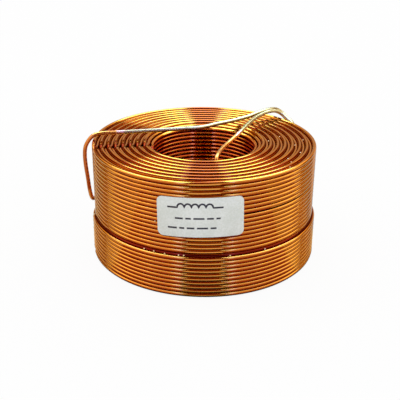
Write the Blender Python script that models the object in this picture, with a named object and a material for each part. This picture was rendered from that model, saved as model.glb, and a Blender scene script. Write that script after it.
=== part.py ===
"""Air core inductor: a self-supporting coil of enamelled copper wire with two stiff wire ends.

Units are metres and +Z is up. The origin is the middle of the bore, at the base of the coil.
The wire is laid in level turns that nest in the grooves of the layer below, so every odd layer
sits half a turn higher. A last, short layer covers only the lower part of the outside.
"""
import math

import bmesh
import bpy
from mathutils import Vector

# Wire
WIRE_DIAMETER = 0.0011           # over the enamel
TURN_PITCH = 0.00112             # from one turn of a layer to the next
GROOVE_DEPTH = 0.00042           # how far the wire's round side falls back between two turns
CREST_WIDTH = 0.00044            # flat that stands for the round crest of one turn

# Winding
BORE_RADIUS = 0.01342
LAYER_PITCH = 0.00094            # from one layer of nested turns to the next
FULL_LAYERS = 17
FULL_TURNS = 27
FIRST_LAYER_TURNS = 26           # the inner lead leaves from the highest of these
SHORT_LAYER_TURNS = 10
RING_SEGMENTS = 32

# Label
LABEL_WIDTH = 0.0209             # along the curve of the coil
LABEL_HEIGHT = 0.0102
LABEL_THICKNESS = 0.0002
LABEL_CORNER = 0.0014
LABEL_MIDDLE_HEIGHT = 0.0218     # above the base
LABEL_BEARING = math.radians(-1.4)
LABEL_TILT = math.radians(1.3)
LABEL_CORNER_STEPS = 4
LABEL_MIDDLE_STEPS = 12

# Gaps and leads
TOUCH_GAP = 0.0003               # left between pieces that touch
LEAD_POINT_SPACING = 0.0020
LEAD_BEVEL_RESOLUTION = 2
ROUTE_SAMPLES = 16               # per stretch between two route points

# The inner lead leaves the highest turn of the first layer at the front of the bore, turns up
# past the rim, crosses the bore to the back right and runs down outside the coil. Millimetres.
INNER_LEAD_ROUTE = [
    (6.0, -10.95, 28.55), (4.9, -11.5, 28.55), (3.95, -11.88, 28.65), (3.35, -12.05, 29.0),
    (3.1, -11.95, 29.6), (3.3, -11.2, 30.1), (4.05, -8.2, 30.45), (4.95, -5.8, 30.65),
    (6.35, -2.9, 30.9), (7.85, -0.3, 31.35), (9.8, 3.3, 31.9), (12.15, 8.6, 32.45),
    (14.55, 13.35, 32.8), (17.0, 16.8, 33.0), (19.05, 18.9, 33.0), (20.7, 20.15, 32.65),
    (22.3, 20.6, 31.8), (24.0, 19.7, 30.45), (25.75, 18.4, 29.0), (27.35, 16.7, 26.2),
    (28.35, 15.15, 22.2), (29.0, 14.05, 17.75), (29.5, 13.15, 13.3),
]

# The outer lead lifts off the short layer at the back left, turns up at the left side, crosses
# the top over the bore, and ends beside the inner lead. Millimetres.
OUTER_LEAD_ROUTE = [
    (-24.6, 18.0, 11.95), (-28.05, 11.95, 12.0), (-29.95, 6.2, 12.0), (-30.7, 1.95, 12.4),
    (-30.95, 0.25, 13.75), (-31.2, -0.65, 16.25), (-31.5, -0.9, 20.05), (-31.85, -0.9, 23.6),
    (-31.95, -0.8, 26.5), (-31.65, -0.7, 28.7), (-30.75, -0.4, 30.4), (-29.4, -0.1, 31.7),
    (-27.4, 0.35, 32.1), (-22.25, 1.45, 32.1), (-14.5, 3.1, 32.1), (-6.45, 4.9, 32.1),
    (-1.0, 6.2, 32.1), (3.35, 9.1, 32.15), (8.2, 12.15, 32.25), (12.55, 15.15, 32.55),
    (16.1, 18.15, 33.0), (19.35, 21.15, 32.9), (21.3, 23.15, 32.2), (22.75, 23.55, 31.25),
    (24.25, 22.85, 30.1), (25.85, 21.7, 28.55), (27.2, 20.2, 25.6), (28.1, 18.9, 21.15),
    (28.7, 17.9, 16.2), (29.1, 17.2, 11.3),
]
MILLIMETRE = 0.001

# Values worked out from the sizes above
WIRE_RADIUS = WIRE_DIAMETER / 2
COIL_HEIGHT = (FULL_TURNS + 0.5) * TURN_PITCH


def layer_radius(layer):
    """Radius at the middle of the wire in a layer, counted from 1 at the bore."""
    return BORE_RADIUS + WIRE_RADIUS + (layer - 1) * LAYER_PITCH


def clear_scene():
    """Remove every object that the scene holds."""
    for item in list(bpy.data.objects):
        bpy.data.objects.remove(item, do_unlink=True)


def make_material(name, colour, roughness, metallic):
    """A Principled material of one colour."""
    material = bpy.data.materials.new(name)
    material.use_nodes = True
    shader = material.node_tree.nodes["Principled BSDF"]
    shader.inputs["Base Color"].default_value = (*colour, 1.0)
    shader.inputs["Roughness"].default_value = roughness
    shader.inputs["Metallic"].default_value = metallic
    return material


def link_object(name, data, material):
    """Put mesh or curve data into the scene as a named object."""
    data.materials.append(material)
    item = bpy.data.objects.new(name, data)
    bpy.context.scene.collection.objects.link(item)
    return item


def turn_height(layer, turn):
    """Height at the middle of a turn, counted from 1 at the base; odd layers sit higher."""
    return (turn - 0.5 * (layer % 2 == 0)) * TURN_PITCH


def bore_side(points):
    """The first layer seen from inside the bore, from its lowest turn to its highest."""
    for turn in range(1, FIRST_LAYER_TURNS + 1):
        middle = turn_height(1, turn)
        points.append((BORE_RADIUS, middle))
        if turn < FIRST_LAYER_TURNS:
            points.append((BORE_RADIUS + GROOVE_DEPTH, middle + TURN_PITCH / 2))


def end_rings(points, layers, raised_parity, crest_height, valley_height):
    """One end face: the raised layers stand out as flat rings, the others lie half a turn back."""
    outward = 1 if layers[0] <= layers[-1] else -1
    for layer in layers:
        middle = layer_radius(layer)
        if layer % 2 == raised_parity:
            points.append((middle - outward * CREST_WIDTH / 2, crest_height))
            points.append((middle + outward * CREST_WIDTH / 2, crest_height))
        else:
            points.append((middle, valley_height))


def outer_side(points, layer, highest_turn, lowest_turn):
    """Turns on the outside of a layer, from the highest turn down to the lowest."""
    crest = layer_radius(layer) + WIRE_RADIUS
    for turn in range(highest_turn, lowest_turn - 1, -1):
        middle = turn_height(layer, turn)
        points.append((crest, middle + CREST_WIDTH / 2))
        points.append((crest, middle - CREST_WIDTH / 2))
        if turn > 1:
            points.append((crest - GROOVE_DEPTH, middle - TURN_PITCH / 2))


def winding_profile():
    """Outline of the coil's section, as (radius, height), once around it."""
    points = []
    short_layer = FULL_LAYERS + 1
    short_layer_top = turn_height(short_layer, SHORT_LAYER_TURNS) + TURN_PITCH / 2
    first_layer_top = turn_height(1, FIRST_LAYER_TURNS) + TURN_PITCH / 2
    bore_side(points)
    end_rings(points, [1], 1, first_layer_top, first_layer_top)
    top_layers = list(range(2, FULL_LAYERS + 1))
    end_rings(points, top_layers, 1, COIL_HEIGHT, COIL_HEIGHT - TURN_PITCH / 2)
    outer_side(points, FULL_LAYERS, FULL_TURNS, SHORT_LAYER_TURNS + 1)
    points.append((layer_radius(short_layer), short_layer_top))
    outer_side(points, short_layer, SHORT_LAYER_TURNS, 1)
    bottom_layers = list(range(short_layer, 0, -1))
    end_rings(points, bottom_layers, 0, 0.0, TURN_PITCH / 2)
    return points


def make_winding(material):
    """The whole roll of turns as one turned solid, open through its bore."""
    shape = bmesh.new()
    ring = [shape.verts.new((radius, 0.0, height)) for radius, height in winding_profile()]
    edges = [shape.edges.new((ring[i - 1], ring[i])) for i in range(len(ring))]
    bmesh.ops.spin(
        shape,
        geom=ring + edges,
        cent=(0.0, 0.0, 0.0),
        axis=(0.0, 0.0, 1.0),
        angle=math.tau,
        steps=RING_SEGMENTS,
        use_merge=True,
    )
    bmesh.ops.recalc_face_normals(shape, faces=shape.faces)
    mesh = bpy.data.meshes.new("winding")
    shape.to_mesh(mesh)
    shape.free()
    mesh.shade_smooth()
    mesh.set_sharp_from_angle(angle=math.radians(35))
    return link_object("winding", mesh, material)


def label_columns():
    """Half height of the label at each place along its width, rounded at both ends."""
    half_width = LABEL_WIDTH / 2
    half_height = LABEL_HEIGHT / 2
    corner = []
    for step in range(LABEL_CORNER_STEPS + 1):
        turn = step * math.pi / 2 / LABEL_CORNER_STEPS
        along = half_width - LABEL_CORNER * (1 - math.cos(turn))
        corner.append((along, half_height - LABEL_CORNER * (1 - math.sin(turn))))
    inner = half_width - LABEL_CORNER
    middle = [
        (inner - 2 * inner * step / LABEL_MIDDLE_STEPS, half_height)
        for step in range(1, LABEL_MIDDLE_STEPS)
    ]
    return corner + middle + [(-along, half) for along, half in reversed(corner)]


def make_label(material):
    """A thin paper patch with rounded corners, bent round the outermost full layer."""
    inner_radius = layer_radius(FULL_LAYERS) + WIRE_RADIUS + TOUCH_GAP
    radii = (inner_radius, inner_radius + LABEL_THICKNESS)
    shape = bmesh.new()
    columns = []
    for along, half in label_columns():
        column = []
        for radius in radii:
            for across in (-half, half):
                turned = along * math.cos(LABEL_TILT) - across * math.sin(LABEL_TILT)
                height = along * math.sin(LABEL_TILT) + across * math.cos(LABEL_TILT)
                bearing = LABEL_BEARING + turned / inner_radius
                place = (
                    radius * math.sin(bearing),
                    -radius * math.cos(bearing),
                    LABEL_MIDDLE_HEIGHT + height,
                )
                column.append(shape.verts.new(place))
        columns.append(column)
    for (low_in, high_in, low_out, high_out), following in zip(columns, columns[1:]):
        next_low_in, next_high_in, next_low_out, next_high_out = following
        shape.faces.new((low_out, high_out, next_high_out, next_low_out))
        shape.faces.new((low_in, next_low_in, next_high_in, high_in))
        shape.faces.new((high_in, next_high_in, next_high_out, high_out))
        shape.faces.new((low_in, low_out, next_low_out, next_low_in))
    for low_in, high_in, low_out, high_out in (columns[0], columns[-1]):
        shape.faces.new((low_in, high_in, high_out, low_out))
    bmesh.ops.recalc_face_normals(shape, faces=shape.faces)
    mesh = bpy.data.meshes.new("label")
    shape.to_mesh(mesh)
    shape.free()
    mesh.shade_smooth()
    mesh.set_sharp_from_angle(angle=math.radians(35))
    return link_object("label", mesh, material)


def smooth_route(route):
    """Points of a centripetal Catmull-Rom curve through a route given in millimetres."""
    stops = [Vector(point) * MILLIMETRE for point in route]
    stops = [2 * stops[0] - stops[1]] + stops + [2 * stops[-1] - stops[-2]]
    curve = []
    for first in range(len(stops) - 3):
        a, b, c, d = stops[first:first + 4]
        knots = [0.0]
        for start, end in ((a, b), (b, c), (c, d)):
            knots.append(knots[-1] + math.sqrt((end - start).length))
        for sample in range(ROUTE_SAMPLES):
            t = knots[1] + (knots[2] - knots[1]) * sample / ROUTE_SAMPLES
            ab = a.lerp(b, (t - knots[0]) / (knots[1] - knots[0]))
            bc = b.lerp(c, (t - knots[1]) / (knots[2] - knots[1]))
            cd = c.lerp(d, (t - knots[2]) / (knots[3] - knots[2]))
            abc = ab.lerp(bc, (t - knots[0]) / (knots[2] - knots[0]))
            bcd = bc.lerp(cd, (t - knots[1]) / (knots[3] - knots[1]))
            curve.append(abc.lerp(bcd, (t - knots[1]) / (knots[2] - knots[1])))
    curve.append(stops[-2])
    return curve


def evenly_spaced(curve, spacing):
    """Points at equal distances along a finely sampled curve, both its ends included."""
    distances = [0.0]
    for start, end in zip(curve, curve[1:]):
        distances.append(distances[-1] + (end - start).length)
    count = max(2, round(distances[-1] / spacing) + 1)
    points = []
    place = 0
    for index in range(count):
        wanted = distances[-1] * index / (count - 1)
        while place < len(curve) - 2 and distances[place + 1] < wanted:
            place += 1
        share = (wanted - distances[place]) / (distances[place + 1] - distances[place])
        points.append(curve[place].lerp(curve[place + 1], share))
    return points


def make_lead(name, route, material):
    """One free end of the winding's wire, as a round tube with closed ends."""
    points = evenly_spaced(smooth_route(route), LEAD_POINT_SPACING)
    data = bpy.data.curves.new(name, "CURVE")
    data.dimensions = "3D"
    data.bevel_depth = WIRE_RADIUS
    data.bevel_resolution = LEAD_BEVEL_RESOLUTION
    data.use_fill_caps = True
    spline = data.splines.new("POLY")
    spline.points.add(len(points) - 1)
    for target, point in zip(spline.points, points):
        target.co = (*point, 1.0)
    return link_object(name, data, material)


def main():
    """Build the coil, its label and its two leads."""
    clear_scene()
    copper = make_material("enamelled_copper", (0.78, 0.36, 0.10), 0.28, 1.0)
    tinned = make_material("tinned_copper", (0.80, 0.80, 0.78), 0.30, 1.0)
    paper = make_material("label_paper", (0.78, 0.79, 0.76), 0.65, 0.0)
    make_winding(copper)
    make_label(paper)
    make_lead("inner_lead", INNER_LEAD_ROUTE, tinned)
    make_lead("outer_lead", OUTER_LEAD_ROUTE, tinned)


main()
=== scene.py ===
"""Looks of an air core inductor: a self-supporting coil of enamelled copper wire, its two leads
and its paper label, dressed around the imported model.

Units are metres and +Z is up. The origin is the middle of the bore, at the base of the coil.
An azimuth is counted from the front (-Y) towards the right (+X), and grows the way that the
wire runs.
"""
import logging
import math
from collections.abc import Callable, Mapping, Sequence
from dataclasses import dataclass, field, replace
from enum import Enum
from typing import Any

import bmesh
import bpy
from mathutils import Matrix, Vector


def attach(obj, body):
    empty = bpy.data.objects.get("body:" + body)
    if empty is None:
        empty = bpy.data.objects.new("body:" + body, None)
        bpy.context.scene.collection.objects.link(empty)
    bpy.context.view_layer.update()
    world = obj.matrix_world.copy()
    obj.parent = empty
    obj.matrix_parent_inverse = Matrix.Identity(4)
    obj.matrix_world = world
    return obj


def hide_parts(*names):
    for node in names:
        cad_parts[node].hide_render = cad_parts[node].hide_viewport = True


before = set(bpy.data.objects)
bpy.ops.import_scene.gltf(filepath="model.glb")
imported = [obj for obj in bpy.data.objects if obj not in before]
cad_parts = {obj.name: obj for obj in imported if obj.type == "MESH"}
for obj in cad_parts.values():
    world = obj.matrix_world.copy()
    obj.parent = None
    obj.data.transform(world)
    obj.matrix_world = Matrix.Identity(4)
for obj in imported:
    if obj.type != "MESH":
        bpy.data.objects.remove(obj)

LOG = logging.getLogger("air_core_inductor")
BODY = "root"
MILLIMETRE = 0.001
TURN_PITCH = 0.00112             # from one turn of a layer to the next
LAYER_PITCH = 0.000954           # from one layer to the next
SMOOTH_ANGLE = math.radians(50.0)
Colour = tuple[float, float, float]
Place = tuple[float, float, float]
Span = tuple[float, float]
WHITE: Colour = (1.0, 1.0, 1.0)
WHOLE_ARCH: Span = (0.0, 180.0)


# Shader building

class Value:
    """A node's output that takes part in Python arithmetic by adding Math nodes."""

    def __init__(self, bench: "Bench", socket: bpy.types.NodeSocket) -> None:
        """Keep the bench that adds nodes and the socket that carries the value."""
        self.bench = bench
        self.socket = socket

    def _math(self, operation: str, first: Any, second: Any = None) -> "Value":
        """Add one Math node.

        Args:
            operation: the Math node's operation.
            first: the first operand, a Value or a number.
            second: the second operand, or None where the operation takes one.

        Returns:
            The node's output as a Value.
        """
        inputs = {0: first} if second is None else {0: first, 1: second}
        node = self.bench.node("ShaderNodeMath", {"operation": operation}, inputs)
        return self.bench.out(node)

    def __add__(self, other: Any) -> "Value":
        """The sum of two values."""
        return self._math("ADD", self, other)

    def __radd__(self, other: Any) -> "Value":
        """The sum, with a number on the left."""
        return self._math("ADD", other, self)

    def __sub__(self, other: Any) -> "Value":
        """The difference of two values."""
        return self._math("SUBTRACT", self, other)

    def __rsub__(self, other: Any) -> "Value":
        """The difference, with a number on the left."""
        return self._math("SUBTRACT", other, self)

    def __mul__(self, other: Any) -> "Value":
        """The product of two values."""
        return self._math("MULTIPLY", self, other)

    def __rmul__(self, other: Any) -> "Value":
        """The product, with a number on the left."""
        return self._math("MULTIPLY", other, self)

    def __truediv__(self, other: Any) -> "Value":
        """The quotient of two values."""
        return self._math("DIVIDE", self, other)

    def power(self, other: Any) -> "Value":
        """This value to a power."""
        return self._math("POWER", self, other)

    def arc(self, other: Any) -> "Value":
        """The angle of the direction with this value up and the other along."""
        return self._math("ARCTAN2", self, other)

    def fraction(self) -> "Value":
        """The part after the decimal point."""
        return self._math("FRACT", self)

    def size(self) -> "Value":
        """The value without its sign."""
        return self._math("ABSOLUTE", self)

    def greater(self, other: Any) -> "Value":
        """One where this value is above the other, and zero elsewhere."""
        return self._math("GREATER_THAN", self, other)

    def smaller(self, other: Any) -> "Value":
        """The smaller of the two values."""
        return self._math("MINIMUM", self, other)

    def larger(self, other: Any) -> "Value":
        """The larger of the two values."""
        return self._math("MAXIMUM", self, other)

    def ramp(self, low: float, high: float) -> "Value":
        """A smooth step from 0 to 1.

        Args:
            low: the value at which the step begins.
            high: the value at which the step ends.

        Returns:
            The step as a Value.
        """
        settings = {"interpolation_type": "SMOOTHSTEP"}
        node = self.bench.node("ShaderNodeMapRange", settings, {0: self, 1: low, 2: high})
        return self.bench.out(node)


class Bench:
    """Adds nodes to one material or world and links them."""

    def __init__(self, owner: bpy.types.Material | bpy.types.World) -> None:
        """Start with an empty node tree.

        Args:
            owner: the material or world that gets the nodes.
        """
        owner.use_nodes = True
        self.tree = owner.node_tree
        self.tree.nodes.clear()

    def node(
        self,
        kind: str,
        settings: Mapping[str, Any] | None = None,
        inputs: Mapping[int | str, Any] | None = None,
    ) -> bpy.types.Node:
        """Add a node, make its settings, then fill or link its sockets.

        Args:
            kind: the node's type.
            settings: the node's own properties.
            inputs: values, colours or links by socket name or number.

        Returns:
            The new node.
        """
        made = self.tree.nodes.new(kind)
        for name, setting in (settings or {}).items():
            setattr(made, name, setting)
        for key, value in (inputs or {}).items():
            socket = made.inputs[key]
            if isinstance(value, Value):
                self.tree.links.new(value.socket, socket)
            elif isinstance(value, tuple) and len(value) == 3 and socket.type == "RGBA":
                socket.default_value = (*value, 1.0)
            else:
                socket.default_value = value
        return made

    def out(self, node: bpy.types.Node, key: int | str = 0) -> Value:
        """One of a node's outputs as a Value."""
        return Value(self, node.outputs[key])

    def place(self) -> Value:
        """The place on the object, in metres."""
        return self.out(self.node("ShaderNodeTexCoord"), "Object")

    def axes(self) -> tuple[Value, Value, Value]:
        """The place on the object along X, Y and Z, in metres."""
        split = self.node("ShaderNodeSeparateXYZ", None, {0: self.place()})
        return self.out(split, "X"), self.out(split, "Y"), self.out(split, "Z")

    def noise(self, cells: float, detail: float = 2.0) -> Value:
        """Smooth noise from 0 to 1, at a number of cells a metre."""
        inputs = {"Vector": self.place(), "Scale": cells, "Detail": detail}
        return self.out(self.node("ShaderNodeTexNoise", None, inputs), "Fac")

    def blend(self, share: Any, first: Any, second: Any) -> Value:
        """A colour between two others.

        Args:
            share: 0 for the first colour, 1 for the second, and a mix of both between.
            first: a colour or a Value.
            second: a colour or a Value.

        Returns:
            The mixed colour as a Value.
        """
        settings = {"data_type": "RGBA"}
        node = self.node("ShaderNodeMix", settings, {0: share, 6: first, 7: second})
        return self.out(node, 2)

    def bump(self, height: Value, distance: float) -> Value:
        """A surface normal from a height, with its distance in metres."""
        inputs = {"Height": height, "Distance": distance, "Strength": 1.0}
        return self.out(self.node("ShaderNodeBump", None, inputs))

    def surface(self, shader: bpy.types.Node) -> None:
        """Send a shader to the output."""
        self.node("ShaderNodeOutputMaterial", None, {"Surface": self.out(shader)})

    def principled(self, inputs: Mapping[str, Any]) -> None:
        """Send a Principled shader with these inputs to the output."""
        self.surface(self.node("ShaderNodeBsdfPrincipled", None, inputs))


# Finishes

@dataclass(frozen=True)
class CoilPlace:
    """Where a point of the coil's surface lies, as values in its material.

    The share behind is 1 straight behind the bore, 0 at its sides and -1 in front of it.
    """

    radius: Value
    height: Value
    behind: Value


def place_on_coil(bench: Bench) -> CoilPlace:
    """Find where the surface lies on the coil.

    Args:
        bench: the bench of the coil's material.

    Returns:
        The distance from the coil's axis, the height and the share behind.
    """
    along_x, along_y, height = bench.axes()
    radius = (along_x * along_x + along_y * along_y).power(0.5)
    return CoilPlace(radius, height, along_y / radius)


@dataclass(frozen=True)
class EnamelFinish:
    """Drawn copper under clear amber enamel, darkened down in the grooves between the turns by
    painted shade; the turns in the bore get a lighter copy of the copper, painted light.
    """

    name: str = "enamelled_copper_wire"
    copper: Colour = (0.60, 0.218, 0.012)
    deep_copper: Colour = (0.54, 0.174, 0.008)
    # Painted shade: the copper darkened down in the grooves between the turns.
    groove: Colour = (0.14, 0.008, 0.001)
    # Painted light: a lighter copy of the copper for the turns in the bore.
    bore_painted_light_copper: Colour = (0.74, 0.230, 0.012)
    # Painted shade: the bore's copper darkened down in its grooves.
    bore_groove_shade: Colour = (0.24, 0.005, 0.001)
    edge: Colour = (1.0, 0.60, 0.25)
    cloud_cells: float = 180.0
    cloud_share: float = 0.65
    grain_cells: float = 2600.0
    grain_height: float = 0.000003
    tone_span: Span = (0.30, 0.72)
    roughness: float = 0.10
    roughness_spread: float = 0.06
    coat_weight: float = 0.40
    coat_roughness: float = 0.05
    coat_index: float = 1.5
    # Settings of the painted shade: how it grows with depth in the grooves, and how that depth is
    # found and weighed.
    groove_shade_span: Span = (0.00010, 0.00034)
    groove_shade_coat_loss: float = 0.85
    outer_radius: float = 0.02960
    short_layer_step: float = 0.00073
    short_layer_top: float = 0.0118
    bore_radius: float = 0.01338
    bore_depth: float = 0.0006
    bore_shade_gain: float = 2.5
    top: float = 0.03079
    low_ring: float = TURN_PITCH / 2
    top_shade_gain: float = 2.8
    rim_height: float = 0.02967
    rim_radius: float = 0.01393
    rim_slope: float = 0.586
    back_shade_span: Span = (0.76, 0.96)
    back_shade_relief: float = 1.6

    def depth(self, place: CoilPlace) -> Value:
        """How deep the surface lies below the crests of the coil's turns, which sets the painted
        shade in the grooves.

        Args:
            place: where the surface lies on the coil.

        Returns:
            The depth in metres, times a gain in the bore and on the top.
        """
        in_short_layer = 1.0 - place.height.greater(self.short_layer_top)
        outside = in_short_layer * self.short_layer_step + self.outer_radius - place.radius
        inside = (place.radius - self.bore_radius) * self.bore_shade_gain
        outward = place.radius - self.rim_radius
        rim = outward * self.rim_slope + self.rim_height
        # Every second ring of the top lies low: the middle half of each pair of rings.
        from_pair_middle = (outward / (2 * LAYER_PITCH)).fraction() - 0.5
        low = 1.0 - from_pair_middle.size().greater(0.25)
        crest = rim.smaller(self.top - low * self.low_ring)
        shade_eased_at_back = place.behind.ramp(*self.back_shade_span)
        # The painted shade grows faster on the top and eases off towards the back.
        below = (crest - place.height) * (self.top_shade_gain - shade_eased_at_back * self.back_shade_relief)
        return outside.smaller(inside).smaller(below)

    def in_bore(self, place: CoilPlace) -> Value:
        """One on the turns that line the bore, below its rim, and zero elsewhere."""
        near = 1.0 - place.radius.greater(self.bore_radius + self.bore_depth)
        return near * (1.0 - place.height.greater(self.rim_height))

    def make(self) -> bpy.types.Material:
        """Mix the copper's tones, lighten them in the bore with painted light, and darken them in
        the grooves with painted shade.

        Returns:
            The finish as a material.
        """
        material = bpy.data.materials.new(self.name)
        bench = Bench(material)
        cloud = bench.noise(self.cloud_cells)
        grain = bench.noise(self.grain_cells, detail=3.0)
        tone = (cloud * self.cloud_share + grain * (1.0 - self.cloud_share)).ramp(*self.tone_span)
        drawn = bench.blend(tone, self.deep_copper, self.copper)
        place = place_on_coil(bench)
        in_bore = self.in_bore(place)
        # Painted light: the turns in the bore get the lighter copper.
        colour = bench.blend(in_bore, drawn, self.bore_painted_light_copper)
        # Painted shade: a darker copper in every groove, by its depth below the crests.
        shade = bench.blend(in_bore, self.groove, self.bore_groove_shade)
        groove = self.depth(place).ramp(*self.groove_shade_span)
        smoothest = self.roughness - self.roughness_spread / 2
        bench.principled({
            "Base Color": bench.blend(groove, colour, shade),
            "Metallic": 1.0,
            "Roughness": grain * self.roughness_spread + smoothest,
            "Specular Tint": self.edge,
            # The coat thins where the painted shade darkens the grooves.
            "Coat Weight": (1.0 - groove * self.groove_shade_coat_loss) * self.coat_weight,
            "Coat Roughness": self.coat_roughness,
            "Coat IOR": self.coat_index,
            "Normal": bench.bump(grain, self.grain_height),
        })
        return material


@dataclass(frozen=True)
class VarnishGlintFinish:
    """Hardened varnish, pale and a little glossy, its paleness partly a painted highlight for the
    glints on the turns.
    """

    name: str = "varnish_with_painted_glint"
    clear: Colour = (0.78, 0.44, 0.16)
    cloudy: Colour = (0.88, 0.62, 0.32)
    cloud_cells: float = 2200.0
    tone_span: Span = (0.3, 0.7)
    smoothest: float = 0.2
    roughness_spread: float = 0.2

    def make(self) -> bpy.types.Material:
        """Cloud the varnish.

        Returns:
            The finish as a material.
        """
        material = bpy.data.materials.new(self.name)
        bench = Bench(material)
        cloud = bench.noise(self.cloud_cells)
        bench.principled({
            "Base Color": bench.blend(cloud.ramp(*self.tone_span), self.clear, self.cloudy),
            "Roughness": cloud * self.roughness_spread + self.smoothest,
        })
        return material


@dataclass(frozen=True)
class LeadFinish:
    """A wire end that goes from enamel over bare copper to solder tin, along X."""

    name: str
    bared_from: float
    tinned_from: float
    enamel: Colour = (0.58, 0.19, 0.025)
    bare: Colour = (0.72, 0.38, 0.26)
    tin: Colour = (0.44, 0.32, 0.14)
    bared_blur: float = 0.0002
    tinned_blur: float = 0.0004
    ripple_cells: float = 900.0
    ripple_height: float = 0.00003
    waver: float = 0.0011
    smoothest: float = 0.20
    roughness_spread: float = 0.10
    coat_weight: float = 0.2
    coat_roughness: float = 0.07
    coat_index: float = 1.55

    def make(self) -> bpy.types.Material:
        """Lay enamel, bare copper and tin one after the other along the wire.

        Returns:
            The finish as a material.
        """
        material = bpy.data.materials.new(self.name)
        bench = Bench(material)
        ripple = bench.noise(self.ripple_cells)
        along = bench.axes()[0] + (ripple - 0.5) * self.waver
        stripped = along.ramp(self.bared_from - self.bared_blur, self.bared_from + self.bared_blur)
        tinned = along.ramp(
            self.tinned_from - self.tinned_blur, self.tinned_from + self.tinned_blur
        )
        metal = bench.blend(tinned, self.bare, self.tin)
        bench.principled({
            "Base Color": bench.blend(stripped, self.enamel, metal),
            "Metallic": 1.0,
            "Roughness": ripple * self.roughness_spread + self.smoothest,
            "Coat Weight": (1.0 - stripped) * self.coat_weight,
            "Coat Roughness": self.coat_roughness,
            "Coat IOR": self.coat_index,
            "Normal": bench.bump(ripple, self.ripple_height),
        })
        return material


@dataclass(frozen=True)
class PaperFinish:
    """Smooth grey-white label paper with a faint fibre."""

    name: str = "label_sticker_paper"
    face: Colour = (0.62, 0.65, 0.59)
    thread: Colour = (0.72, 0.74, 0.70)
    fibre_cells: float = 2400.0
    fibre_share: float = 0.6
    fibre_height: float = 0.000008
    mottle_cells: float = 260.0
    tone_span: Span = (0.35, 0.65)
    smoothest: float = 0.50
    roughness_spread: float = 0.15

    def make(self) -> bpy.types.Material:
        """Mottle the paper and roughen it with fibres.

        Returns:
            The finish as a material.
        """
        material = bpy.data.materials.new(self.name)
        bench = Bench(material)
        fibre = bench.noise(self.fibre_cells, detail=4.0)
        mottle = bench.noise(self.mottle_cells)
        tone = (fibre * self.fibre_share + mottle * (1.0 - self.fibre_share)).ramp(*self.tone_span)
        bench.principled({
            "Base Color": bench.blend(tone, self.face, self.thread),
            "Roughness": fibre * self.roughness_spread + self.smoothest,
            "Normal": bench.bump(fibre, self.fibre_height),
        })
        return material


@dataclass(frozen=True)
class InkFinish:
    """Black printer's ink."""

    name: str = "label_ink"
    dense: Colour = (0.012, 0.012, 0.013)
    thin: Colour = (0.035, 0.034, 0.036)
    spread_cells: float = 3000.0
    tone_span: Span = (0.4, 0.7)
    smoothest: float = 0.45
    roughness_spread: float = 0.2

    def make(self) -> bpy.types.Material:
        """Spread the ink unevenly.

        Returns:
            The finish as a material.
        """
        material = bpy.data.materials.new(self.name)
        bench = Bench(material)
        spread = bench.noise(self.spread_cells, detail=3.0)
        bench.principled({
            "Base Color": bench.blend(spread.ramp(*self.tone_span), self.dense, self.thin),
            "Roughness": spread * self.roughness_spread + self.smoothest,
        })
        return material


def seen_directly(bench: Bench) -> Value:
    """Tell what is seen from what only lights the object.

    Args:
        bench: the bench of the material.

    Returns:
        One for camera, glossy and transmission rays, and zero for the rest.
    """
    path = bench.node("ShaderNodeLightPath")
    seen = bench.out(path, "Is Camera Ray").larger(bench.out(path, "Is Glossy Ray"))
    return seen.larger(bench.out(path, "Is Transmission Ray"))


@dataclass(frozen=True)
class BackdropFinish:
    """Matt white that shows as white to the camera and in glossy metal, and keeps shadows."""

    name: str
    paper: Colour = (0.90, 0.90, 0.90)
    shown_share: float = 0.93

    def make(self) -> bpy.types.Material:
        """Mix the matt paper with plain white, by how the ray sees it.

        Returns:
            The finish as a material.
        """
        material = bpy.data.materials.new(self.name)
        bench = Bench(material)
        seen = seen_directly(bench)
        matt = bench.node("ShaderNodeBsdfDiffuse", None, {"Color": self.paper})
        white = bench.node("ShaderNodeEmission", None, {"Color": WHITE})
        inputs = {0: seen * self.shown_share, 1: bench.out(matt), 2: bench.out(white)}
        bench.surface(bench.node("ShaderNodeMixShader", None, inputs))
        return material


@dataclass(frozen=True)
class CardFinish:
    """Lit card that stands in the studio, with an even change of light along its arch."""

    name: str
    light: Colour
    far_light: Colour
    arch: Span

    def make(self) -> bpy.types.Material:
        """Change the light along the arch.

        Returns:
            The finish as a material.
        """
        material = bpy.data.materials.new(self.name)
        bench = Bench(material)
        _, along_y, height = bench.axes()
        turn = height.arc(0.0 - along_y)
        share = turn.ramp(math.radians(self.arch[0]), math.radians(self.arch[1]))
        light = bench.blend(share, self.light, self.far_light)
        bench.surface(bench.node("ShaderNodeEmission", None, {"Color": light}))
        return material


# Modelling helpers

def deselect_all() -> None:
    """Leave nothing selected, in object mode."""
    if bpy.context.mode != "OBJECT":
        bpy.ops.object.mode_set(mode="OBJECT")
    bpy.ops.object.select_all(action="DESELECT")


def pick(item: bpy.types.Object) -> None:
    """Select one object and make it the active one.

    Args:
        item: the object.
    """
    deselect_all()
    item.select_set(True)
    bpy.context.view_layer.objects.active = item


def on_coil(azimuth: float, radius: float, height: float) -> Vector:
    """The point at an azimuth in radians, a radius and a height."""
    return Vector((radius * math.sin(azimuth), -radius * math.cos(azimuth), height))


def smooth_step(share: float) -> float:
    """An even start and stop between 0 and 1."""
    return share * share * (3.0 - 2.0 * share)


def between(span: Span, share: float) -> float:
    """The value at a share of a span."""
    return span[0] + (span[1] - span[0]) * share


def thicken(item: bpy.types.Object, thickness: float) -> None:
    """Give the active flat mesh a thickness, from Z = 0 upwards.

    Args:
        item: the mesh object, which is the active one.
        thickness: its thickness.
    """
    thick = item.modifiers.new("thick", "SOLIDIFY")
    thick.thickness = thickness
    thick.offset = 1.0
    bpy.ops.object.modifier_apply(modifier=thick.name)


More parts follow.
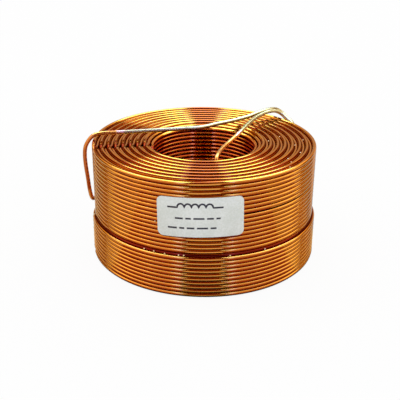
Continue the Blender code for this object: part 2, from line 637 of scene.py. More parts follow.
def wire_curve(
    name: str, points: Sequence[Vector], radius: float, resolution: int, level: bool
) -> bpy.types.Object:
    """A round wire along a line of points, as a curve object with closed ends.

    Args:
        name: the object's name.
        points: the wire's centreline.
        radius: the wire's radius.
        resolution: the bevel's resolution, which gives 4 + 2 * resolution sides.
        level: True where the wire stays near the horizontal, so its sides keep upright.

    Returns:
        The curve object, at the origin.
    """
    data = bpy.data.curves.new(name, "CURVE")
    data.dimensions = "3D"
    data.twist_mode = "Z_UP" if level else "MINIMUM"
    data.bevel_depth = radius
    data.bevel_resolution = resolution
    data.use_fill_caps = True
    spline = data.splines.new("POLY")
    spline.points.add(len(points) - 1)
    for target, point in zip(spline.points, points):
        target.co = (*point, 1.0)
    item = bpy.data.objects.new(name, data)
    bpy.context.scene.collection.objects.link(item)
    return item


def declare(item: bpy.types.Object, node: str, material: bpy.types.Material) -> None:
    """Dress a piece, ride it on the body and hide the imported part that it replaces.

    Args:
        item: the piece.
        node: the node that it replaces.
        material: the piece's finish.
    """
    item.data.materials.clear()
    item.data.materials.append(material)
    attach(item, BODY)
    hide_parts(node)


# Winding

class Heading(Enum):
    """Which way a layer's turns follow each other."""

    DOWN = "down"
    UP = "up"


@dataclass(frozen=True)
class Station:
    """A place on the wire where a level stretch or a crossing begins or ends."""

    azimuth: float
    radius: float
    height: float


@dataclass(frozen=True)
class WindingSizes:
    """Sizes of the wire and of the way that its turns nest.

    Layers are counted from 1 at the bore, and a layer's turns from 1 at the base.
    """

    wire_radius: float = 0.000546
    first_radius: float = 0.01392
    short_radius: float = 0.02991
    full_layers: int = 17
    full_turns: int = 27
    first_layer_turns: int = 26
    short_turns: int = 10
    crossing: float = math.radians(-79.0)
    crossing_half_length: float = 0.0026
    crossing_lead: float = 0.0009
    packed_pitch: float = 0.0011
    loose_pitch: float = 0.001104
    left_top: float = 0.03004
    right_top: float = 0.03033
    right_gap_turn: int = 20
    right_gap_top: float = 0.02128
    front_step_start: float = math.radians(-16.0)
    front_step_end: float = math.radians(14.0)
    short_base: float = 0.00087
    start_azimuth: float = math.radians(46.0)
    start_stretch: float = math.radians(4.0)
    finish_azimuth: float = math.radians(234.0)

    def radius(self, layer: int) -> float:
        """Radius at the middle of a layer's wire."""
        full_radius = self.first_radius + (layer - 1) * LAYER_PITCH
        return self.short_radius if layer > self.full_layers else full_radius

    def turns(self, layer: int) -> int:
        """Count the turns of a layer.

        Args:
            layer: the layer's number.

        Returns:
            The number of its turns.
        """
        if layer == 1:
            return self.first_layer_turns
        return self.short_turns if layer > self.full_layers else self.full_turns

    def crossing_reach(self, layer: int) -> float:
        """Half the angle that a crossing takes in a layer."""
        return self.crossing_half_length / self.radius(layer)

    def heading(self, layer: int) -> Heading:
        """Odd layers go down from the top and even layers go up from the base."""
        return Heading.DOWN if layer % 2 == 1 else Heading.UP

    def crossing_shift(self, layer: int) -> float:
        """Angle by which the crossings of a layer come late, or early if below zero."""
        lead = self.crossing_lead / self.radius(layer)
        return lead if self.heading(layer) is Heading.DOWN else -lead

    def left_height(self, layer: int, turn: int) -> float:
        """Height of a turn where it lies left of the front.

        Args:
            layer: the layer's number.
            turn: the turn's number in the layer.

        Returns:
            The height of the wire's middle.
        """
        if layer > self.full_layers:
            return self.short_base + (turn - 1) * self.loose_pitch
        if layer == self.full_layers:
            return self.left_top - (self.full_turns - turn) * self.packed_pitch
        return (turn - 0.5 * (layer % 2 == 0)) * TURN_PITCH

    def right_height(self, layer: int, turn: int) -> float:
        """Height of a turn where it lies right of the front and at the back.

        Args:
            layer: the layer's number.
            turn: the turn's number in the layer.

        Returns:
            The height of the wire's middle, with the outermost full layer's gap.
        """
        if layer != self.full_layers:
            return self.left_height(layer, turn)
        if turn >= self.right_gap_turn:
            return self.right_top - (self.full_turns - turn) * self.loose_pitch
        return self.right_gap_top - (self.right_gap_turn - 1 - turn) * self.packed_pitch


@dataclass
class WireLayer:
    """One layer of the coil: all its turns as one wire.

    Odd layers go down from the top and even layers go up from the base. The wire keeps level
    all the way round, but for one short crossing to the next turn at the left.
    """

    number: int
    sizes: WindingSizes
    fine_step: float = math.radians(2.5)
    coarse_step: float = math.radians(10.0)
    fine_crossing_steps: int = 10
    coarse_crossing_steps: int = 4
    fine_resolution: int = 4
    coarse_resolution: int = 3
    top_turns_shown: float = 1.7
    base_turns_shown: float = 1.2
    shake: float = 0.000012
    shake_phase: float = 2.3
    sway_rates: Span = (0.37, 1.31)
    second_sway: float = 0.6
    lean_rate: float = 0.53
    lean_phase: float = 1.7

    @property
    def shown_all_over(self) -> bool:
        """True for the layer in the bore and for those on the outside."""
        return self.number == 1 or self.number >= self.sizes.full_layers

    def lap(self, turn: int, lap: int) -> list[Station]:
        """Go round one turn, from the end of a crossing to the start of the next one.

        Args:
            turn: the turn's number in the layer.
            lap: how many times the wire has gone round before, in this layer.

        Returns:
            The stations, with the change of height at the front between them.
        """
        sizes = self.sizes
        radius = sizes.radius(self.number)
        reach = sizes.crossing_reach(self.number)
        base = math.tau * lap + sizes.crossing_shift(self.number)
        left = sizes.left_height(self.number, turn)
        right = sizes.right_height(self.number, turn)
        stations = [Station(base + sizes.crossing + reach, radius, left)]
        if left != right:
            stations.append(Station(base + sizes.front_step_start, radius, left))
            stations.append(Station(base + sizes.front_step_end, radius, right))
        stations.append(Station(base + math.tau + sizes.crossing - reach, radius, right))
        return stations

    def from_start(self, stations: list[Station]) -> list[Station]:
        """Let the layer begin where the wire's start leaves its highest turn.

        Args:
            stations: the layer's stations, from its first crossing on.

        Returns:
            The stations with the level stretch at the wire's start.
        """
        start = replace(stations[1], azimuth=self.sizes.start_azimuth)
        level = replace(start, azimuth=start.azimuth + self.sizes.start_stretch)
        return [start, level] + stations[1:]

    def to_next_layer(self, stations: list[Station]) -> list[Station]:
        """Let the layer end with the wire's step outward to the next one.

        Args:
            stations: the layer's stations, up to its last crossing.

        Returns:
            The stations with the crossing to the next layer's first turn.
        """
        sizes = self.sizes
        outer = self.number + 1
        middle = math.tau * sizes.turns(self.number) + sizes.crossing
        reach = sizes.crossing_reach(self.number)
        first_turn = 1 if sizes.heading(outer) is Heading.UP else sizes.turns(outer)
        height = sizes.left_height(outer, first_turn)
        arrival = Station(middle + reach, sizes.radius(outer), height)
        end = replace(arrival, azimuth=arrival.azimuth + abs(sizes.crossing_shift(outer)))
        return stations[:-1] + [replace(stations[-1], azimuth=middle - reach), arrival, end]

    def to_finish(self, stations: list[Station]) -> list[Station]:
        """The short layer's stations, up to where the wire's finish lifts off."""
        end = math.tau * (self.sizes.turns(self.number) - 1) + self.sizes.finish_azimuth
        return stations[:-1] + [replace(stations[-1], azimuth=end)]

    def stations(self) -> list[Station]:
        """Go round all the turns of the layer.

        Returns:
            The stations from the layer's start to its end.
        """
        turns = range(1, self.sizes.turns(self.number) + 1)
        if self.sizes.heading(self.number) is Heading.DOWN:
            turns = turns[::-1]
        found = []
        for lap, turn in enumerate(turns):
            found.extend(self.lap(turn, lap))
        if self.number == 1:
            found = self.from_start(found)
        if self.number <= self.sizes.full_layers:
            return self.to_next_layer(found)
        return self.to_finish(found)

    def is_shown(self, height: float) -> bool:
        """Tell whether a stretch of wire can be seen.

        Args:
            height: the stretch's height.

        Returns:
            True for a layer in the open, and for the turns at the top and at the base.
        """
        top = (self.sizes.full_turns - self.top_turns_shown) * TURN_PITCH
        base = self.base_turns_shown * TURN_PITCH
        return self.shown_all_over or height > top or height < base

    def steps(self, begin: Station, end: Station) -> int:
        """Choose how finely a stretch is drawn.

        Args:
            begin: the station where the stretch begins.
            end: the station where it ends.

        Returns:
            The number of steps between the two stations.
        """
        shown = self.is_shown(begin.height) or self.is_shown(end.height)
        step = self.fine_step if shown else self.coarse_step
        count = max(1, math.ceil((end.azimuth - begin.azimuth) / step))
        if begin.height == end.height and begin.radius == end.radius:
            return count
        return max(count, self.fine_crossing_steps if shown else self.coarse_crossing_steps)

    def points(self) -> list[Vector]:
        """Lay out the wire's centreline.

        Returns:
            Points close enough together to look round where the wire shows.
        """
        stations = self.stations()
        found = []
        for begin, end in zip(stations, stations[1:]):
            steps = self.steps(begin, end)
            for index in range(steps):
                share = index / steps
                azimuth = between((begin.azimuth, end.azimuth), share)
                radius = between((begin.radius, end.radius), smooth_step(share))
                height = between((begin.height, end.height), smooth_step(share))
                found.append(self.settled(Station(azimuth, radius, height)))
        found.append(self.settled(stations[-1]))
        return found

    def settled(self, station: Station) -> Vector:
        """Shift a place on the wire by the small unevenness of a real winding.

        Args:
            station: the place where the wire would lie if it were wound evenly.

        Returns:
            The point where it lies.
        """
        phase = self.shake_phase * self.number
        first_rate, second_rate = self.sway_rates
        sway = math.sin(first_rate * station.azimuth + phase)
        sway += self.second_sway * math.sin(second_rate * station.azimuth + 2 * phase)
        lean = math.sin(self.lean_rate * station.azimuth + self.lean_phase * phase)
        radius = station.radius + self.shake * lean
        return on_coil(station.azimuth, radius, station.height + self.shake * sway)

    def build(self) -> bpy.types.Object:
        """Build the layer's wire.

        Returns:
            The layer as a mesh object.
        """
        name = f"wire_layer_{self.number:02d}"
        resolution = self.fine_resolution if self.shown_all_over else self.coarse_resolution
        item = wire_curve(name, self.points(), self.sizes.wire_radius, resolution, True)
        pick(item)
        bpy.ops.object.convert(target="MESH")
        bpy.ops.object.shade_smooth_by_angle(angle=SMOOTH_ANGLE)
        return bpy.context.view_layer.objects.active


@dataclass
class Winding:
    """The roll of turns: seventeen full layers and one short layer outside them."""

    sizes: WindingSizes = field(default_factory=WindingSizes)
    finish: EnamelFinish = field(default_factory=EnamelFinish)
    layers: list[bpy.types.Object] = field(default_factory=list)

    def build(self) -> None:
        """Build the wire of every layer."""
        for number in range(1, self.sizes.full_layers + 2):
            self.layers.append(WireLayer(number, self.sizes).build())

    def dress(self) -> None:
        material = self.finish.make()
        for item in self.layers:
            declare(item, "winding", material)


# Varnish drops, partly painted highlights

@dataclass(frozen=True)
class Drop:
    """A drop's azimuth in degrees, and its distance from the axis, height and radius in mm."""

    azimuth: float
    distance: float
    height: float
    radius: float

    @property
    def place(self) -> Vector:
        """The drop's middle, in metres."""
        azimuth = math.radians(self.azimuth)
        return on_coil(azimuth, self.distance * MILLIMETRE, self.height * MILLIMETRE)


# Drops where pale glints show: partly varnish, partly painted highlights.
IN_THE_GROOVE: tuple[Drop, ...] = (
    Drop(-28.7, 30.0, 11.67, 0.2), Drop(-23.5, 30.0, 11.64, 0.2), Drop(-18.1, 30.0, 11.52, 0.2),
    Drop(-11.3, 30.0, 11.61, 0.2), Drop(-8.9, 30.0, 11.63, 0.2), Drop(12.6, 30.0, 11.57, 0.2),
    Drop(30.4, 30.0, 11.68, 0.2),
)
ON_THE_TURNS: tuple[Drop, ...] = (
    Drop(-22.9, 29.65, 19.61, 0.18), Drop(88.2, 17.12, 30.7, 0.18), Drop(98.5, 20.58, 30.7, 0.18),
    Drop(81.2, 24.1, 30.7, 0.18), Drop(53.5, 26.87, 30.7, 0.18), Drop(47.2, 28.51, 30.7, 0.18),
    Drop(69.7, 26.26, 30.7, 0.18), Drop(57.0, 25.06, 30.7, 0.18), Drop(91.2, 26.38, 30.7, 0.18),
)


@dataclass
class VarnishGlintDrops:
    """Small drops of varnish in the groove above the short layer and on the turns, pale where the
    turns glint: partly real varnish, partly painted highlights.
    """

    drops: Sequence[Drop] = IN_THE_GROOVE + ON_THE_TURNS
    finish: VarnishGlintFinish = field(default_factory=VarnishGlintFinish)
    segments: int = 12
    rings: int = 8
    item: bpy.types.Object | None = None

    def build_drop(self, drop: Drop) -> bpy.types.Object:
        """Build one drop as a ball at its place.

        Args:
            drop: where the drop sits and how large it is.

        Returns:
            The drop as a mesh object, at the origin.
        """
        deselect_all()
        bpy.ops.mesh.primitive_uv_sphere_add(
            segments=self.segments, ring_count=self.rings, radius=drop.radius * MILLIMETRE
        )
        item = bpy.context.view_layer.objects.active
        item.data.transform(Matrix.Translation(drop.place))
        return item

    def build(self) -> None:
        """Build every drop and join them in one mesh."""
        items = [self.build_drop(drop) for drop in self.drops]
        deselect_all()
        for item in items:
            item.select_set(True)
        bpy.context.view_layer.objects.active = items[0]
        bpy.ops.object.join()
        self.item = bpy.context.view_layer.objects.active
        self.item.name = self.item.data.name = "varnish_glint_drops"
        bpy.ops.object.shade_smooth()

    def dress(self) -> None:
        declare(self.item, "winding", self.finish.make())


# Leads

@dataclass
class Lead:
    """One free end of the coil's wire."""

    node: str
    route: Sequence[Place]
    finish: LeadFinish
    diameter: float = 0.0011
    resolution: int = 5
    spacing: float = 0.0007
    samples: int = 16
    item: bpy.types.Object | None = None
    line: list[Vector] = field(default_factory=list)

    def smooth_route(self) -> list[Vector]:
        """Draw a centripetal Catmull-Rom curve through the route.

        Returns:
            The curve's points, closer together where the route's points are.
        """
        stops = [Vector(point) * MILLIMETRE for point in self.route]
        stops = [2 * stops[0] - stops[1]] + stops + [2 * stops[-1] - stops[-2]]
        curve = []
        for first in range(len(stops) - 3):
            a, b, c, d = stops[first:first + 4]
            knots = [0.0]
            for start, end in ((a, b), (b, c), (c, d)):
                knots.append(knots[-1] + math.sqrt((end - start).length))
            for sample in range(self.samples):
                t = knots[1] + (knots[2] - knots[1]) * sample / self.samples
                ab = a.lerp(b, (t - knots[0]) / (knots[1] - knots[0]))
                bc = b.lerp(c, (t - knots[1]) / (knots[2] - knots[1]))
                cd = c.lerp(d, (t - knots[2]) / (knots[3] - knots[2]))
                abc = ab.lerp(bc, (t - knots[0]) / (knots[2] - knots[0]))
                bcd = bc.lerp(cd, (t - knots[1]) / (knots[3] - knots[1]))
                curve.append(abc.lerp(bcd, (t - knots[1]) / (knots[2] - knots[1])))
        curve.append(stops[-2])
        return curve

    def centreline(self) -> list[Vector]:
        """Space the smooth route evenly.

        Returns:
            Points at equal distances along it, both its ends included.
        """
        curve = self.smooth_route()
        distances = [0.0]
        for start, end in zip(curve, curve[1:]):
            distances.append(distances[-1] + (end - start).length)
        count = max(2, round(distances[-1] / self.spacing) + 1)
        points = []
        place = 0
        for index in range(count):
            wanted = distances[-1] * index / (count - 1)
            while place < len(curve) - 2 and distances[place + 1] < wanted:
                place += 1
            share = (wanted - distances[place]) / (distances[place + 1] - distances[place])
            points.append(curve[place].lerp(curve[place + 1], share))
        return points

    def length(self) -> float:
        """Length of the centreline."""
        return sum((end - start).length for start, end in zip(self.line, self.line[1:]))

    def build(self) -> None:
        """Build the wire along its route."""
        self.line = self.centreline()
        name = f"{self.node}_wire"
        self.item = wire_curve(name, self.line, self.diameter / 2, self.resolution, False)

    def dress(self) -> None:
        declare(self.item, self.node, self.finish.make())
        tuple(self.line[0])
        round(self.length(), 4)


# The leads' routes, in millimetres.
INNER_LEAD_ROUTE: tuple[Place, ...] = (
    (6.0, -10.95, 28.55), (4.9, -11.5, 28.55), (3.95, -11.88, 28.65), (3.35, -12.05, 29.0),
    (3.1, -11.95, 29.6), (3.3, -11.2, 30.1), (4.05, -8.2, 30.45), (4.95, -5.8, 30.65),
    (6.35, -2.9, 30.9), (7.85, -0.3, 31.35), (9.8, 3.3, 31.9), (12.15, 8.6, 32.45),
    (14.55, 13.35, 32.8), (17.0, 16.8, 33.0), (19.05, 18.9, 33.0), (20.7, 20.15, 32.65),
    (22.3, 20.6, 31.8), (24.0, 19.7, 30.45), (25.75, 18.4, 29.0), (27.35, 16.7, 26.2),
    (28.35, 15.15, 22.2), (29.0, 14.05, 17.75), (29.5, 13.15, 13.3),
)
OUTER_LEAD_ROUTE: tuple[Place, ...] = (
    (-24.6, 18.0, 11.95), (-28.05, 11.95, 12.0), (-29.95, 6.2, 12.0), (-30.7, 1.95, 12.4),
    (-30.95, 0.25, 13.75), (-31.2, -0.65, 16.25), (-31.5, -0.9, 20.05), (-31.85, -0.9, 23.6),
    (-31.95, -0.8, 26.5), (-31.65, -0.7, 28.7), (-30.75, -0.4, 30.4), (-29.4, -0.1, 31.7),
    (-27.4, 0.35, 32.1), (-22.25, 1.45, 32.1), (-14.5, 3.1, 32.1), (-6.45, 4.9, 32.1),
    (-1.0, 6.2, 32.1), (3.35, 9.1, 32.15), (8.2, 12.15, 32.25), (12.55, 15.15, 32.55),
    (16.1, 18.15, 33.0), (19.35, 21.15, 32.9), (21.3, 23.15, 32.2), (22.75, 23.55, 31.25),
    (24.25, 22.85, 30.1), (25.85, 21.7, 28.55), (27.2, 20.2, 25.6), (28.1, 18.9, 21.15),
    (28.7, 17.9, 16.2), (29.1, 17.2, 11.3),
)


# Label

@dataclass(frozen=True)
class BarRow:
    """A row of printed bars: its height and left end, and the bars' lengths in millimetres."""

    height: float
    left: float
    lengths: tuple[float, ...]


BAR_ROWS: tuple[BarRow, ...] = (
    BarRow(-0.0002, -0.0060, (1.9, 1.3, 2.6, 1.6, 1.0)),
    BarRow(-0.0027, -0.0078, (2.2, 1.2, 1.8, 2.6, 1.4)),
)


@dataclass
class Label:
    """A paper sticker with rounded corners, bent round the outermost full layer.

    Its print is a coil's circuit symbol above two rows of bars. Sheet and print are drawn flat,
    with X along the label and Y up it, from the middle, and then bent onto the coil.
    """

    width: float = 0.0209
    height: float = 0.0102
    thickness: float = 0.0002
    corner: float = 0.0014
    corner_segments: int = 6
    edge_round: float = 0.00005
    edge_segments: int = 2
    inner_radius: float = 0.02986
    middle_height: float = 0.0218
    bearing: float = math.radians(-1.4)
    tilt: float = math.radians(1.3)
    columns: int = 36
    ink_height: float = 0.000012
    stroke: float = 0.00044
    stroke_step: float = 0.0005
    symbol_left: float = -0.0078
    symbol_height: float = 0.0026
    symbol_tail: float = 0.0024
    humps: int = 5
    hump_radius: float = 0.00085
    hump_rise: float = 1.15
    hump_steps: int = 10
    bar_gap: float = 0.0006
    paper: PaperFinish = field(default_factory=PaperFinish)
    ink: InkFinish = field(default_factory=InkFinish)
    sheet: bpy.types.Object | None = None
    marks: bpy.types.Object | None = None

    def wrap(self, item: bpy.types.Object, lift: float) -> None:
        """Bend a flat mesh, drawn in the XY plane, onto the coil.

        Args:
            item: the mesh object; X runs along the label, Y up it and Z out of it.
            lift: distance of Z = 0 from the label's inner side.
        """
        for vertex in item.data.vertices:
            along, across, out = vertex.co
            turned = along * math.cos(self.tilt) - across * math.sin(self.tilt)
            height = along * math.sin(self.tilt) + across * math.cos(self.tilt)
            radius = self.inner_radius + lift + out
            azimuth = self.bearing + turned / self.inner_radius
            vertex.co = on_coil(azimuth, radius, self.middle_height + height)
        item.data.update()

    def build_sheet(self) -> bpy.types.Object:
        """Round a plane's corners, cut it in columns, make it thick and bend it.

        Returns:
            The paper as a mesh object.
        """
        deselect_all()
        bpy.ops.mesh.primitive_plane_add(size=1.0)
        item = bpy.context.view_layer.objects.active
        item.name = item.data.name = "label_sheet"
        bpy.ops.object.mode_set(mode="EDIT")
        bpy.ops.mesh.select_all(action="SELECT")
        bpy.ops.transform.resize(value=(self.width, self.height, 1.0))
        bpy.ops.mesh.bevel(offset=self.corner, affect="VERTICES", segments=self.corner_segments)
        for column in range(1, self.columns):
            along = self.width * (column / self.columns - 0.5)
            bpy.ops.mesh.select_all(action="SELECT")
            bpy.ops.mesh.bisect(plane_co=(along, 0.0, 0.0), plane_no=(1.0, 0.0, 0.0))
        bpy.ops.object.mode_set(mode="OBJECT")
        thicken(item, self.thickness)
        rounding = item.modifiers.new("rounding", "BEVEL")
        rounding.width = self.edge_round
        rounding.segments = self.edge_segments
        rounding.limit_method = "ANGLE"
        bpy.ops.object.modifier_apply(modifier=rounding.name)
        self.wrap(item, 0.0)
        pick(item)
        bpy.ops.object.shade_smooth_by_angle(angle=SMOOTH_ANGLE)
        return item

    def symbol_line(self) -> list[Span]:
        """Draw the coil's circuit symbol: a tail, a row of humps and a tail.

        Returns:
            The points of its centreline.
        """
        row = self.symbol_height
        line = [(self.symbol_left, row), (self.symbol_left + self.symbol_tail, row)]
        for number in range(self.humps):
            middle = self.symbol_left + self.symbol_tail + self.hump_radius * (2 * number + 1)
            for step in range(1, self.hump_steps + 1):
                turn = math.pi * step / self.hump_steps
                along = middle - self.hump_radius * math.cos(turn)
                line.append((along, row + self.hump_rise * self.hump_radius * math.sin(turn)))
        line.append((line[-1][0] + self.symbol_tail, row))
        return line

    def bar_lines(self) -> list[list[Span]]:
        """Draw the bars, one after the other in their rows.

        Returns:
            The two ends of each bar's centreline.
        """
        lines = []
        for row in BAR_ROWS:
            begin = row.left
            for length in row.lengths:
                end = begin + length * MILLIMETRE
                lines.append([(begin, row.height), (end, row.height)])
                begin = end + self.bar_gap
        return lines

    def add_strip(self, shape: bmesh.types.BMesh, line: Sequence[Span]) -> None:
        """Add a flat strip of the stroke's width.

        Args:
            shape: the mesh that gets the strip.
            line: the points of the strip's centreline.
        """
        points = [Vector((*line[0], 0.0))]
        for start, end in zip(line, line[1:]):
            first, last = Vector((*start, 0.0)), Vector((*end, 0.0))
            pieces = max(1, math.ceil((last - first).length / self.stroke_step))
            points.extend(first.lerp(last, step / pieces) for step in range(1, pieces + 1))
        sides = []
        for index, point in enumerate(points):
            before = points[max(index - 1, 0)]
            after = points[min(index + 1, len(points) - 1)]
            heading = (after - before).normalized()
            across = Vector((-heading.y, heading.x, 0.0)) * self.stroke / 2
            sides.append((shape.verts.new(point - across), shape.verts.new(point + across)))
        for (low, high), (next_low, next_high) in zip(sides, sides[1:]):
            shape.faces.new((low, next_low, next_high, high))

    def build_marks(self) -> bpy.types.Object:
        """Lay the printed marks on the paper as thin raised strips.

        Returns:
            The marks as a mesh object.
        """
        shape = bmesh.new()
        for line in [self.symbol_line()] + self.bar_lines():
            self.add_strip(shape, line)
        mesh = bpy.data.meshes.new("label_marks")
        shape.to_mesh(mesh)
        shape.free()
        item = bpy.data.objects.new("label_marks", mesh)
        bpy.context.scene.collection.objects.link(item)
        pick(item)
        thicken(item, self.ink_height)
        self.wrap(item, self.thickness)
        return item

    def build(self) -> None:
        """Build the paper and its print."""
        self.sheet = self.build_sheet()
        self.marks = self.build_marks()

    def dress(self) -> None:
        declare(self.sheet, "label", self.paper.make())
        declare(self.marks, "label", self.ink.make())


# Studio

@dataclass
class Camera:
    """The camera: a long lens in front of the coil, looking down on it."""

    elevation: float = math.radians(23.33193)
    distance: float = 0.205155
    aim_height: float = 0.01568
    swing: float = -0.0047088
    tip: float = -0.0114422
    roll: float = math.radians(0.475215)
    focal_length: float = 67.1846
    sensor_width: float = 36.0
    clip_start: float = 0.01
    clip_end: float = 20.0

    def build(self) -> None:
        """Add the camera and make it the scene's own."""
        back = Vector((0.0, -math.cos(self.elevation), math.sin(self.elevation)))
        aim = Vector((0.0, 0.0, self.aim_height))
        right = Vector((1.0, 0.0, 0.0))
        forward = -back
        up = right.cross(forward)
        forward = (forward + self.swing * right + self.tip * up).normalized()
        right = forward.cross(Vector((0.0, 0.0, 1.0))).normalized()
        up = right.cross(forward)
        turn, rise = math.cos(self.roll), math.sin(self.roll)
        right, up = turn * right + rise * up, turn * up - rise * right
        data = bpy.data.cameras.new("camera")
        data.lens = self.focal_length
        data.sensor_width = self.sensor_width
        data.clip_start = self.clip_start
        data.clip_end = self.clip_end
        item = bpy.data.objects.new("camera", data)
        bpy.context.scene.collection.objects.link(item)
        axes = Matrix((right, up, -forward)).transposed().to_4x4()
        item.matrix_world = Matrix.Translation(aim + back * self.distance) @ axes
        bpy.context.scene.camera = item


def shaped_grid(
    name: str, columns: int, rows: int, place: Callable[[float, float], Vector]
) -> bpy.types.Object:
    """A grid whose points are laid out by their shares of its width and of its length.

    Args:
        name: the object's name.
        columns: the number of columns across the width.
        rows: the number of rows along the length.
        place: gives the point at a share of the width and a share of the length.

    Returns:
        The grid as a mesh object, at the origin.
    """
    deselect_all()
    bpy.ops.mesh.primitive_grid_add(x_subdivisions=columns, y_subdivisions=rows)
    item = bpy.context.view_layer.objects.active
    item.name = item.data.name = name
    for vertex in item.data.vertices:
        vertex.co = place(0.5 + 0.5 * vertex.co.x, 0.5 + 0.5 * vertex.co.y)
    item.data.update()
    return item


def light_up(item: bpy.types.Object, finish: CardFinish) -> None:
    """Light a card, so that it shows in gloss, but neither to the camera nor as light or shade.

    Args:
        item: the card.
        finish: its finish.
    """
    item.data.materials.append(finish.make())
    item.visible_camera = False
    item.visible_diffuse = False
    item.visible_shadow = False


@dataclass(frozen=True)
class Card:
    """A curved card round the coil, which shows in its wire.

    Its place is told by the share of the studio's radius towards the right, and by the angle
    in degrees about the left-right axis, from the front horizon over the top towards the back.
    """

    name: str
    sides: Span
    arch: Span
    light: Colour
    far_light: Colour | None = None
    radius: float = 0.80
    columns: int = 6
    rows: int = 12

    def place(self, along: float, onward: float) -> Vector:
        """Find a point of the card.

        Args:
            along: its share of the way from the card's left side to its right one.
            onward: its share of the way along the arch.

        Returns:
            The point.
        """
        side = between(self.sides, along)
        turn = math.radians(between(self.arch, onward))
        reach = math.sqrt(1.0 - side * side)
        return Vector((side, -reach * math.cos(turn), reach * math.sin(turn))) * self.radius

    def build(self) -> None:
        """Build the card as a curved grid and light it."""
        item = shaped_grid(self.name, self.columns, self.rows, self.place)
        light_up(item, CardFinish(self.name, self.light, self.far_light or self.light, self.arch))


@dataclass(frozen=True)
class FootCard:
    """A flat card on the floor, part of a ring round the coil, which shows in its wire.

    Its place is told by a range of azimuths in degrees and a range of radii.
    """

    name: str
    azimuths: Span
    radii: Span
    light: Colour
    height: float = 0.0001
    degrees_a_column: float = 6.0

    def place(self, along: float, outward: float) -> Vector:
        """The point at a share of the azimuths and a share of the radii."""
        azimuth = math.radians(between(self.azimuths, along))
        return on_coil(azimuth, between(self.radii, outward), self.height)

    def build(self) -> None:
        """Build the card as a flat sector and light it."""
        spread = self.azimuths[1] - self.azimuths[0]
        columns = max(2, round(spread / self.degrees_a_column))
        item = shaped_grid(self.name, columns, 1, self.place)
        light_up(item, CardFinish(self.name, self.light, self.light, WHOLE_ARCH))


def grey(level: float) -> Colour:
    """An even grey of a level."""
    return (level, level, level)


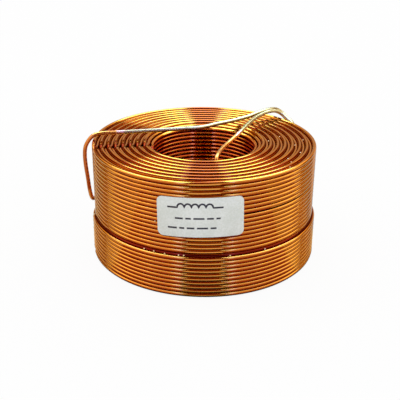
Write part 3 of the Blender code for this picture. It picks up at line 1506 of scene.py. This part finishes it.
CARDS: tuple[Card | FootCard, ...] = (
    Card("centre_strip", (-0.30, 0.36), (14.0, 60.0), (0.20, 0.002, 0.004)),
    Card("centre_strip_high", (-0.19, 0.21), (60.5, 90.0), (0.16, 0.003, 0.006)),
    Card("centre_top", (-0.12, 0.12), (90.5, 136.0), (3.0, 2.6, 6.0)),
    Card("centre_rear", (-0.45, 0.45), (136.5, 178.0), grey(1.0), grey(0.50)),
    Card("left_inner", (-0.40, -0.301), (14.0, 60.0), (1.40, 2.00, 9.0)),
    Card("right_inner", (0.361, 0.46), (14.0, 60.0), (1.40, 2.00, 9.0)),
    Card("left_inner_high", (-0.36, -0.191), (60.5, 90.0), (2.6, 4.6, 9.0)),
    Card("right_inner_high", (0.211, 0.36), (60.5, 90.0), (2.6, 4.6, 9.0)),
    Card("left_inner_top", (-0.36, -0.121), (90.5, 136.0), (5.0, 13.0, 16.0)),
    Card("right_inner_top", (0.121, 0.36), (90.5, 136.0), (5.0, 13.0, 16.0)),
    Card("left_panel", (-0.995, -0.401), (2.0, 60.0), (1.20, 0.95, 0.9)),
    Card("right_panel", (0.461, 0.995), (8.0, 60.0), (0.95, 0.78, 0.8)),
    Card("left_ceiling", (-0.62, -0.361), (60.5, 128.0), (1.6, 1.9, 3.2), (7.0, 10.5, 18.0)),
    Card("right_ceiling", (0.361, 0.62), (60.5, 128.0), (1.5, 1.8, 3.2), (7.0, 10.5, 18.0)),
    Card("left_ceiling_side", (-0.995, -0.621), (60.5, 132.0), (2.4, 2.6, 2.8), (1.5, 1.6, 1.4)),
    Card("right_ceiling_side", (0.621, 0.995), (60.5, 132.0), (2.0, 2.3, 2.6), (2.0, 2.2, 2.0)),
    Card("left_slope", (-0.70, -0.451), (132.5, 158.0), (2.2, 2.0, 1.3), (0.25, 0.14, 0.08)),
    Card("right_slope", (0.451, 0.70), (132.5, 158.0), (2.8, 2.6, 1.6), (0.40, 0.25, 0.12)),
    Card("left_rear", (-0.99, -0.701), (132.5, 176.0), (0.40, 0.20, 0.10), (0.12, 0.04, 0.02)),
    Card("right_rear", (0.701, 0.99), (132.5, 176.0), (0.60, 0.32, 0.15), (0.26, 0.10, 0.05)),
    # Painted shadow: the dark foot cards inside the bore, at the coil's foot and on the near floor
    # round it stand for the coil's shadow on the floor, as the wire reflects it.
    FootCard("foot_bore_shade", (-180.0, 180.0), (0.0, 0.0135), grey(0.01)),
    FootCard("foot_contact_shadow", (-180.0, 180.0), (0.0290, 0.0315), grey(0.05)),
    FootCard("foot_front_near", (-12.0, 14.0), (0.0316, 0.0420), (0.15, 0.20, 0.40)),
    FootCard("foot_front", (-12.0, 14.0), (0.0421, 0.062), (1.80, 2.00, 2.80)),
    FootCard("foot_front_out", (-12.0, 14.0), (0.0621, 0.40), (0.90, 0.95, 1.50)),
    FootCard("foot_left_near", (-58.0, -12.0), (0.0316, 0.045), (0.48, 0.09, 0.12)),
    FootCard("foot_left", (-68.0, -12.0), (0.0451, 0.060), (0.30, 0.06, 0.10)),
    FootCard("foot_left_out", (-68.0, -12.0), (0.0601, 0.25), (0.80, 0.50, 0.55)),
    FootCard("foot_left_near_side", (-104.0, -58.0), (0.0316, 0.045), (0.95, 1.00, 0.80)),
    FootCard("foot_left_side", (-86.0, -68.0), (0.0451, 0.25), (0.50, 0.30, 0.40)),
    FootCard("foot_left_far", (-150.0, -104.0), (0.0316, 0.25), (0.80, 1.10, 1.30)),
    FootCard("foot_right_near", (14.0, 58.0), (0.0316, 0.045), (0.48, 0.09, 0.12)),
    FootCard("foot_right", (14.0, 88.0), (0.0451, 0.060), (0.30, 0.06, 0.10)),
    FootCard("foot_right_out", (14.0, 88.0), (0.0601, 0.25), (0.70, 0.40, 0.45)),
    FootCard("foot_right_near_side", (58.0, 104.0), (0.0316, 0.045), (0.95, 1.00, 0.60)),
    FootCard("foot_right_far", (104.0, 150.0), (0.0316, 0.25), (0.60, 0.90, 1.35)),
)


@dataclass
class Studio:
    """White floor, and cards that give the coil its lights and darks."""

    floor_size: float = 8.0
    world_level: float = 1.0

    def build_floor(self) -> None:
        """A wide white floor that keeps the coil's shadow."""
        deselect_all()
        bpy.ops.mesh.primitive_plane_add(size=self.floor_size)
        floor = bpy.context.view_layer.objects.active
        floor.name = floor.data.name = "floor"
        floor.data.materials.append(BackdropFinish("white_floor").make())

    def build_world(self) -> None:
        """White surroundings that light the coil evenly."""
        world = bpy.data.worlds.new("studio")
        bpy.context.scene.world = world
        bench = Bench(world)
        inputs = {"Color": WHITE, "Strength": self.world_level}
        light = bench.node("ShaderNodeBackground", None, inputs)
        bench.node("ShaderNodeOutputWorld", None, {"Surface": bench.out(light)})

    def build(self) -> None:
        """Set up floor, world and cards."""
        self.build_floor()
        self.build_world()
        for card in CARDS:
            card.build()
        bpy.context.scene.view_settings.view_transform = "Standard"


# The whole


def report(items: Sequence[bpy.types.Object]) -> None:
    """Log how many faces each piece has."""
    for item in items:
        LOG.info("%s: %d faces", item.name, len(item.data.polygons))


def main() -> None:
    """Build and dress every sub-assembly in order."""
    logging.basicConfig(level=logging.INFO, format="%(message)s")
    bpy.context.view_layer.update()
    Camera().build()
    inner_finish = LeadFinish("inner_lead_metal", bared_from=0.0087, tinned_from=0.0100)
    outer_finish = LeadFinish("outer_lead_metal", bared_from=-0.0235, tinned_from=-0.0215)
    leads = [
        Lead("inner_lead", INNER_LEAD_ROUTE, inner_finish),
        Lead("outer_lead", OUTER_LEAD_ROUTE, outer_finish),
    ]
    for lead in leads:
        lead.build()
        lead.dress()
        LOG.info("%s: %.1f mm of wire", lead.item.name, lead.length() / MILLIMETRE)
    winding = Winding()
    winding.build()
    winding.dress()
    report(winding.layers)
    drops = VarnishGlintDrops()
    drops.build()
    drops.dress()
    report([drops.item])
    label = Label()
    label.build()
    label.dress()
    report([label.sheet, label.marks])
    Studio().build()


if __name__ == "__main__":
    main()
